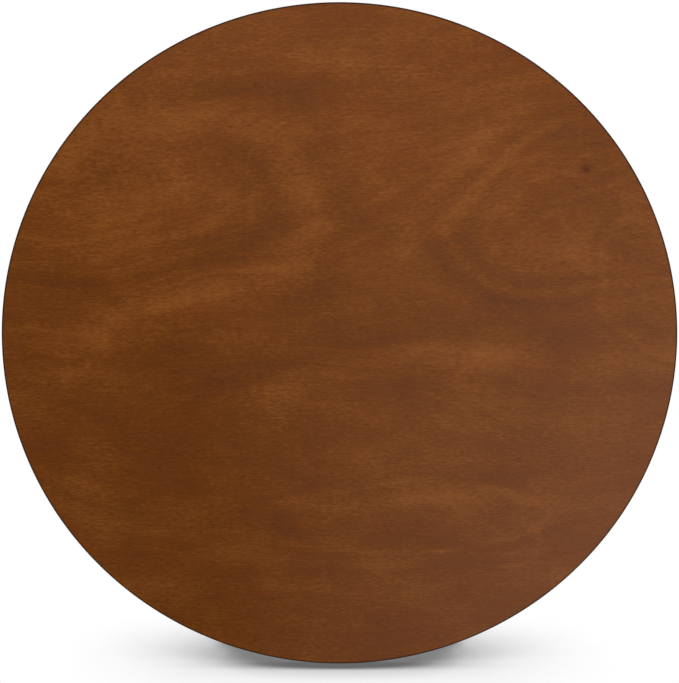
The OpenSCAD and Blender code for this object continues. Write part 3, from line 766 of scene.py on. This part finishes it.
    # Each part of the tone with its strength and its own mean, so that 0.5 stays the middle
    parts = [
        (clouds, 0.56, 0.5), (mottle, 0.21, 0.5), (bands, 0.30, 0.5), (fine_bands, 0.14, 0.5),
        (lines, 0.06, 0.1), (fibre, 0.72, 0.5), (long_fibre, 0.36, 0.5), (pores, -0.16, 0.1)]
    tone = 0.5 - sum(amount * mean for part, amount, mean in parts)
    for part, amount, mean in parts:
        tone = plus(tone, part, amount)
    for u, v, reach_u, reach_v, turn_deg, amount in patches:
        tone = plus(tone, hill(bent, u, v, reach_u, reach_v, turn_deg), amount)
    for u, v, reach_u, reach_v, turn_deg, contour, width, side, amount in rings:
        away = away_from(bent, u, v, reach_u, reach_v, turn_deg)
        shown = add(tree, "ShaderNodeMath", {
            0: add(tree, "ShaderNodeSeparateXYZ", {0: away}).outputs["X"],
            1: 1.1 * side, 2: 0.5 if side else 1.0}, operation="MULTIPLY_ADD", use_clamp=True)
        distance = add(tree, "ShaderNodeVectorMath", {0: away}, operation="LENGTH")
        off = add(tree, "ShaderNodeMath", {0: distance.outputs["Value"], 1: contour}, operation="SUBTRACT")
        off = add(tree, "ShaderNodeMath", {0: off, 1: width}, operation="DIVIDE")
        off = add(tree, "ShaderNodeMath", {0: off, 1: off}, operation="MULTIPLY")
        line = add(tree, "ShaderNodeMath", {0: math.exp(-1), 1: off}, operation="POWER")
        tone = plus(tone, add(tree, "ShaderNodeMath", {0: line, 1: shown}, operation="MULTIPLY"), amount)
    from_middle = add(tree, "ShaderNodeVectorMath", {0: place, 1: (1, 1, 0)}, operation="MULTIPLY")
    from_middle = add(tree, "ShaderNodeVectorMath", {0: from_middle}, operation="LENGTH")
    # Darker stain and painted shade over the last few millimetres of the radius, at the rim
    arris = add(tree, "ShaderNodeMapRange", {
        "Value": from_middle.outputs["Value"], "From Min": top_r - 2.8, "From Max": top_r - 1.2,
        "To Min": 0.0, "To Max": 0.9})
    colour = stain(tree, tone, *stains)

    # Parts of the sheet took the stain a little redder
    redder = add(tree, "ShaderNodeTexNoise", {
        "Vector": add(tree, "ShaderNodeMapping", {
            "Vector": bent, "Location": (3, 1, 0), "Scale": (1 / 150, 1 / 90, 0)}),
        "Scale": 1.0, "Detail": 2.0})
    red_share = add(tree, "ShaderNodeMapRange", {
        "Value": redder, "From Min": 0.44, "From Max": 0.70, "To Min": 0.0, "To Max": 0.15})
    mixed = add(tree, "ShaderNodeMix", {
        "Factor": red_share, 6: colour, 7: sunlit("#6E3111")}, data_type="RGBA")
    surface = mixed.outputs[2]
    for u, v, size in knots:
        for spread, share, tint in ((1.0, 0.85, "#331106"), (2.3, 0.22, "#5A2408")):
            core = add(tree, "ShaderNodeMath", {
                0: hill(place, u, v, 1.3 * spread * size, spread * size), 1: share}, operation="MULTIPLY")
            mixed = add(tree, "ShaderNodeMix", {
                "Factor": core, 6: surface, 7: sunlit(tint)}, data_type="RGBA")
            surface = mixed.outputs[2]

    # Painted sheen and light: towards one side the sheet is mixed towards a greyish pale brown, most of all
    # low on that side, standing in for the grey veil and extra light of a soft lamp there
    rightward = add(tree, "ShaderNodeMapRange", {
        "Value": across, "From Min": -500.0, "From Max": 500.0, "To Min": 0.00052, "To Max": -0.00005})
    downward = add(tree, "ShaderNodeMapRange", {
        "Value": across, "From Min": -500.0, "From Max": 500.0, "To Min": 0.085, "To Max": 0.030})
    painted_sheen_share = add(tree, "ShaderNodeMath", {
        0: along, 1: rightward, 2: downward}, operation="MULTIPLY_ADD", use_clamp=True)
    mixed = add(tree, "ShaderNodeMix", {
        "Factor": painted_sheen_share, 6: surface, 7: sunlit("#956952")}, data_type="RGBA")
    mixed = add(tree, "ShaderNodeMix", {
        "Factor": arris, 6: mixed.outputs[2], 7: sunlit(rim_stain_and_shade)}, data_type="RGBA")
    rough = add(tree, "ShaderNodeMapRange", {
        "Value": fibre, "From Min": 0.3, "From Max": 0.7, "To Min": 0.46, "To Max": 0.56})
    dent = add(tree, "ShaderNodeBump", {
        "Height": pores, "Distance": 0.00005, "Strength": 0.35}, invert=True)
    tree.links.new(mixed.outputs[2], shader.inputs["Base Color"])
    tree.links.new(rough.outputs[0], shader.inputs["Roughness"])
    tree.links.new(dent.outputs[0], shader.inputs["Normal"])
    shader.inputs["Specular IOR Level"].default_value = 0.05
    return material


# Each hill: place along and across the sheet, reach along and across, and height, in millimetres
face_hills = [
    (-400, 198, 330, 112, 240), (430, 222, 270, 105, -240), (340, 250, 60, 40, 50),
    (85, -255, 210, 48, 90), (228, -292, 72, 38, 50), (-120, -60, 160, 60, -60),
    (-260, -200, 200, 60, 70), (40, 350, 240, 60, 40), (140, -70, 170, 40, -50),
]
# Each ring line: middle and reaches, turn, which multiple of the reaches, width, the side where it
# shows (1 right, -1 left, 0 all round) and its tone
face_rings = [
    (-230, 197, 190, 128, 0, 1.0, 0.15, 1, 0.14), (-230, 197, 190, 128, 0, 0.72, 0.10, 1, -0.09),
    (-230, 197, 190, 128, 0, 1.32, 0.14, 1, -0.08), (-230, 197, 190, 128, 0, 0.50, 0.07, 1, -0.06),
    (420, 225, 290, 140, 15, 1.02, 0.04, -1, -0.08), (420, 225, 290, 140, 15, 0.94, 0.035, -1, 0.08),
    (420, 225, 290, 140, 15, 0.87, 0.03, -1, -0.06), (420, 225, 290, 140, 15, 0.79, 0.03, -1, 0.06),
    (420, 225, 290, 140, 15, 0.68, 0.05, -1, 0.05), (420, 225, 290, 140, 15, 1.15, 0.06, -1, 0.06),
    (470, 80, 130, 90, -40, 1.0, 0.05, 0, 0.08), (470, 80, 130, 90, -40, 1.12, 0.04, 0, -0.06),
    (85, -250, 215, 50, 0, 1.0, 0.10, 0, 0.10), (228, -292, 72, 38, 0, 1.0, 0.14, 1, 0.10),
    (339, 250, 34, 24, 0, 1.0, 0.20, -1, 0.10), (-235, -30, 60, 40, 0, 1.0, 0.15, -1, 0.06),
]
# Each patch: place, reaches, turn, and how much paler or darker it is
face_patches = [
    (211, 53, 130, 26, -4, -0.16), (330, 10, 70, 24, -8, -0.09), (30, -5, 60, 14, 8, -0.12),
    (85, -55, 80, 22, 0, -0.12), (212, -195, 90, 20, 0, -0.13), (-138, -240, 45, 34, -30, -0.15),
    (-55, -290, 70, 28, -15, -0.15), (-300, -20, 110, 36, 0, -0.09), (183, -19, 120, 20, -4, 0.14),
    (-70, -62, 55, 26, 0, 0.13), (140, -135, 90, 34, 10, 0.10), (57, -224, 200, 13, 0, 0.15),
    (268, -315, 60, 40, 0, 0.03), (-384, -33, 60, 26, 0, 0.16), (-354, 290, 60, 32, 35, 0.18),
    (-120, 300, 170, 22, 0, 0.05), (-263, 194, 90, 50, 0, 0.14), (-55, 344, 60, 22, 0, -0.12),
    (-60, -10, 100, 40, 20, -0.07), (-420, 102, 70, 26, 0, -0.13), (395, -62, 90, 22, 0, -0.10),
    (-410, -180, 40, 26, 0, -0.11), (-310, 45, 130, 20, 16, 0.14), (100, 255, 130, 70, 0, 0.09),
    (-150, 410, 220, 60, 0, 0.07), (-220, -130, 130, 60, 0, -0.09), (250, -240, 120, 70, 0, -0.06),
    (110, 120, 60, 60, 0, 0.05), (0, -330, 200, 40, 0, 0.04),
]
worn_stain = ("#45220E", "#65350D", "#875021")
face_knots = [(339, 250, 4.5)]
face_walnut = veneer(
    "face_veneer_walnut", face_middle, face_hills, face_rings, face_patches, face_knots, worn_stain)
back_walnut = veneer(
    "back_veneer_walnut", back_middle,
    [(160, 120, 240, 80, 130), (-220, -60, 190, 70, -120), (-120, 260, 200, 50, 60),
     (240, -250, 160, 60, 80)],
    [(160, 120, 240, 80, 0, 1.0, 0.1, 1, 0.09), (-220, -60, 190, 70, 0, 0.8, 0.1, -1, -0.08)],
    [(100, 40, 160, 40, 0, -0.06), (-260, 170, 130, 30, 0, 0.06), (60, -180, 200, 30, 0, -0.05)],
    [], worn_stain)
face = piece("face_sheet", [(under_top(turned(face_profile, 360)), True, False)], sharp_deg=30)
back = piece("back_sheet", [(under_top(turned(back_profile, 360)), True, False)], sharp_deg=30)
dress(face, face_walnut, "top", "walnut_veneer", "face_veneer")
dress(back, back_walnut, "top", "walnut_veneer", "back_veneer")

# ---- Edge band ----
# A 2 mm strip of the same walnut bent round the rim, sanded flush with both veneers and eased to a
# 1 mm radius. Its sanded edges are taken almost to black: the stain takes darker there, and shade is
# painted where the rounded edge turns from the light.

band_t = 2
band_profile = np.vstack([
    [[top_r - band_t, veneer_t]],
    arc(top_r - rim_round, rim_round, rim_round, -cut_deg, 0, 4),
    arc(top_r - rim_round, top_t - rim_round, rim_round, 0, cut_deg, 4),
    [[top_r - band_t, top_t - veneer_t], [top_r - band_t, veneer_t]]])
# The band's grain runs round the rim, so its streaks follow the arc length from the middle
edge_walnut, tree, shader = new_material("edge_band_walnut")
place = grain_place(tree, back_middle, level)
split = add(tree, "ShaderNodeSeparateXYZ", {0: place})
turn = add(tree, "ShaderNodeMath", {0: split.outputs["Y"], 1: split.outputs["X"]}, operation="ARCTAN2")
round_rim = add(tree, "ShaderNodeMath", {0: turn, 1: top_r}, operation="MULTIPLY")
strip = add(tree, "ShaderNodeCombineXYZ", {"X": round_rim, "Y": split.outputs["Z"], "Z": 0.0})
streak = add(tree, "ShaderNodeTexNoise", {
    "Vector": add(tree, "ShaderNodeMapping", {"Vector": strip, "Scale": (1 / 70, 1 / 2.4, 1.0)}),
    "Scale": 1.0, "Detail": 4.0, "Distortion": 0.3})
pores = add(tree, "ShaderNodeTexNoise", {
    "Vector": add(tree, "ShaderNodeMapping", {"Vector": strip, "Scale": (1 / 10, 1 / 0.9, 1.0)}),
    "Scale": 1.0, "Detail": 2.0})
pore_depth = add(tree, "ShaderNodeMapRange", {
    "Value": pores, "From Min": 0.58, "From Max": 0.7, "To Min": 0.0, "To Max": 1.0})
tone = add(tree, "ShaderNodeMath", {0: streak, 1: 0.5, 2: 0.05}, operation="MULTIPLY_ADD")
tone = add(tree, "ShaderNodeMath", {0: pore_depth, 1: -0.14, 2: tone}, operation="MULTIPLY_ADD")
colour = stain(tree, tone, "#3D1D0B", "#623518", "#83502D")
# Darker stain and painted shade on the band's sanded arrises, top and bottom
off_centre = add(tree, "ShaderNodeMath", {0: split.outputs["Z"], 1: top_t / 2}, operation="SUBTRACT")
off_centre = add(tree, "ShaderNodeMath", {0: off_centre}, operation="ABSOLUTE")
arris = add(tree, "ShaderNodeMapRange", {
    "Value": off_centre, "From Min": top_t / 2 - 1.6, "From Max": top_t / 2 - 0.8,
    "To Min": 0.0, "To Max": 0.9})
colour = add(tree, "ShaderNodeMix", {
    "Factor": arris, 6: colour, 7: sunlit(rim_stain_and_shade)}, data_type="RGBA")
dent = add(tree, "ShaderNodeBump", {
    "Height": pore_depth, "Distance": 0.00006, "Strength": 0.4}, invert=True)
tree.links.new(colour.outputs[2], shader.inputs["Base Color"])
tree.links.new(dent.outputs[0], shader.inputs["Normal"])
shader.inputs["Roughness"].default_value = 0.55
shader.inputs["Specular IOR Level"].default_value = 0.05
band = piece("edge_strip", [(under_top(turned(band_profile, 360)), True, False)], sharp_deg=30)
dress(band, edge_walnut, "top", "walnut_veneer", "edge_band")

# ---- Bearers and bushes ----
# Two walnut bearers screwed up into the top, tapered to thin ends and eased on their arrises. A
# flanged brass bush is pressed into each for its pivot bolt.

bearer_x = 109
along_bearer = (0, -tilt, math.pi / 2)
for side, where in ((-1, "left"), (1, "right")):
    bearer = eased(f"bearer_{where}", f"tapered_bearer_{where}", 1.5)
    bearer_walnut = solid_walnut(
        f"bearer_walnut_{where}", (side * bearer_x, back_middle[1], back_middle[2]), along_bearer,
        pith=(0, side * 60, 110))
    dress(bearer, bearer_walnut, "top", "stained_walnut", f"bearer_{where}")
    dress_node(f"pivot_bush_{where}", brass)

# ---- Catch ----
# A brass barrel bolt on a plate under the top: two bored guides carry a rod with a rounded nose,
# and a turned knob screwed into the rod draws it back. It locks the level top.

plate_t = 1.6
block_rear = block_high[1] - pivot_y
catch_y = math.hypot(block_rear + plate_t, nose_r) + 1
catch_z = 20
catch_r = 4
catch_len = 63
knob_y = catch_y + 32.5
knob_r = 7
knob_neck = 2.5
ball_sink = 0.7
catch_plate = eased("catch_plate", "bolt_plate", 0.3)
catch_guides = eased("catch_guides", "bolt_guides", 0.5)
dress(catch_plate, brass, "top", "brass", "catch_plate")
dress(catch_guides, brass, "top", "brass", "catch_guides")
dress_node("catch_screws", brass)
rod = turned(np.vstack([
    [[0, 0]], arc(catch_r - 2, 2, 2, -90, 0, 10),
    arc(catch_r - 0.4, catch_len - 0.4, 0.4, 0, 90, 4), [[0, catch_len]]]), 72)
sliding_rod = piece("sliding_rod", [
    (at_tilt(rod[:, :, [0, 2, 1]] + [0, catch_y, catch_z]), True, False)])
neck_end = catch_r + 7
centre = neck_end + ball_sink * knob_r
knob = turned(np.vstack([
    [[0, 0], [knob_neck / 2, 0], [knob_neck / 2, catch_r], [knob_neck, catch_r], [knob_neck, neck_end]],
    [[knob_r * math.sin(math.acos(ball_sink)) - 0.5, neck_end]],
    arc(0, centre, knob_r, math.degrees(math.asin(-ball_sink)) + 3, 90, 24)]), 72)
knob[:, :, 2] *= -1
turned_knob = piece("turned_knob", [(at_tilt(knob + [0, knob_y, catch_z]), True, False)])
dress(sliding_rod, brass, "catch", "brass", "catch_bolt")
dress(turned_knob, brass, "catch", "brass", "catch_knob")

# ---- Floor ----
# A wide white studio floor. To the lamps it is a pale matt paint. Seen directly it is plain white,
# shaded only by how much of the space just above each point the table fills.

floor_half = 30
floor_mesh = bpy.data.meshes.new("studio_floor")
floor_mesh.from_pydata([
    (-floor_half, -floor_half, 0), (floor_half, -floor_half, 0),
    (floor_half, floor_half, 0), (-floor_half, floor_half, 0)], [], [(0, 1, 2, 3)])
floor = bpy.data.objects.new("studio_floor", floor_mesh)
bpy.context.scene.collection.objects.link(floor)


def seen_directly(tree):
    """1 for what the camera, a gloss or a clear surface sees, 0 for light that scatters."""
    ray = add(tree, "ShaderNodeLightPath")
    seen = add(tree, "ShaderNodeMath", {
        0: ray.outputs["Is Camera Ray"], 1: ray.outputs["Is Glossy Ray"]}, operation="MAXIMUM")
    return add(tree, "ShaderNodeMath", {
        0: seen, 1: ray.outputs["Is Transmission Ray"]}, operation="MAXIMUM")


floor_paint, tree, shader = new_material("white_floor_paint")
shader.inputs["Base Color"].default_value = sunlit("#E4E3E1")
shader.inputs["Roughness"].default_value = 0.9

# Contact shade within 40 mm of the floor
near = add(tree, "ShaderNodeAmbientOcclusion", {"Distance": 0.04}, samples=24)
near_shade = add(tree, "ShaderNodeMapRange", {
    "Value": near.outputs["AO"], "From Min": 0.4, "From Max": 0.98, "To Min": 0.7, "To Max": 1.0})

# Wider shade within 160 mm, read twice with the floor's normal leant forward and back, and taken
# from the more open side, so it lies under the top and not out in front of it
open_sides = [
    add(tree, "ShaderNodeAmbientOcclusion", {
        "Distance": 0.16, "Normal": add(tree, "ShaderNodeCombineXYZ", {"X": 0.0, "Y": lean, "Z": 0.75})},
        samples=24)
    for lean in (-0.66, 0.66)]
overhead = add(tree, "ShaderNodeMath", {
    0: open_sides[0].outputs["AO"], 1: open_sides[1].outputs["AO"]}, operation="MAXIMUM")
wide_shade = add(tree, "ShaderNodeMapRange", {
    "Value": overhead, "From Min": 0.70, "From Max": 0.98, "To Min": 0.2, "To Max": 1.0})
shade = add(tree, "ShaderNodeMath", {0: near_shade, 1: wide_shade}, operation="MULTIPLY")
glow = add(tree, "ShaderNodeEmission", {"Strength": shade})
mix = add(tree, "ShaderNodeMixShader", {0: seen_directly(tree), 1: shader, 2: glow})
out = next(n for n in tree.nodes if n.type == "OUTPUT_MATERIAL")
tree.links.new(mix.outputs[0], out.inputs["Surface"])
floor_mesh.materials.append(floor_paint)

# ---- Light and camera ----
# Even white surroundings, a large soft lamp above in front and another behind, and a camera that
# looks down a little on the middle of the top.

world = bpy.data.worlds.new("studio")
bpy.context.scene.world = world
world.use_nodes = True
tree = world.node_tree
tree.nodes.clear()
brightness = add(tree, "ShaderNodeMix", {
    "Factor": seen_directly(tree), 2: 0.45, 3: 1.0}, data_type="FLOAT")
surroundings = add(tree, "ShaderNodeBackground", {
    "Color": sunlit("#FFFFFF"), "Strength": brightness.outputs[0]})
add(tree, "ShaderNodeOutputWorld", {"Surface": surroundings})


def aim(thing, place, target):
    """Puts a lamp or camera at place with its own -Z towards target, in metres."""
    thing.location = place
    thing.rotation_euler = (Vector(target) - Vector(place)).to_track_quat("-Z", "Y").to_euler()
    bpy.context.scene.collection.objects.link(thing)


aim_point = Vector(face_middle * MM)
key = bpy.data.lights.new("key_softbox", "AREA")
key.shape = "RECTANGLE"
key.size = 1.4
key.size_y = 0.9
key.energy = 31
aim(bpy.data.objects.new("key_softbox", key), (0.3, -1.5, 2.0), aim_point)

rear = bpy.data.lights.new("rear_softbox", "AREA")
rear.shape = "RECTANGLE"
rear.size = 1.6
rear.size_y = 1.2
rear.energy = 34
aim(bpy.data.objects.new("rear_softbox", rear), (1.3, 1.9, 1.7), (0, 0, 0.4))

camera_distance = 2.3
camera_elevation = math.radians(23.9)
lens = bpy.data.cameras.new("camera")
lens.lens = 86.3
lens.sensor_width = 36
camera = bpy.data.objects.new("camera", lens)
target = aim_point + Vector((0, 0, 0.0084))
towards_camera = Vector((0, -math.cos(camera_elevation), math.sin(camera_elevation)))
aim(camera, target + camera_distance * towards_camera, target)
bpy.context.scene.camera = camera
bpy.context.scene.view_settings.view_transform = "Standard"
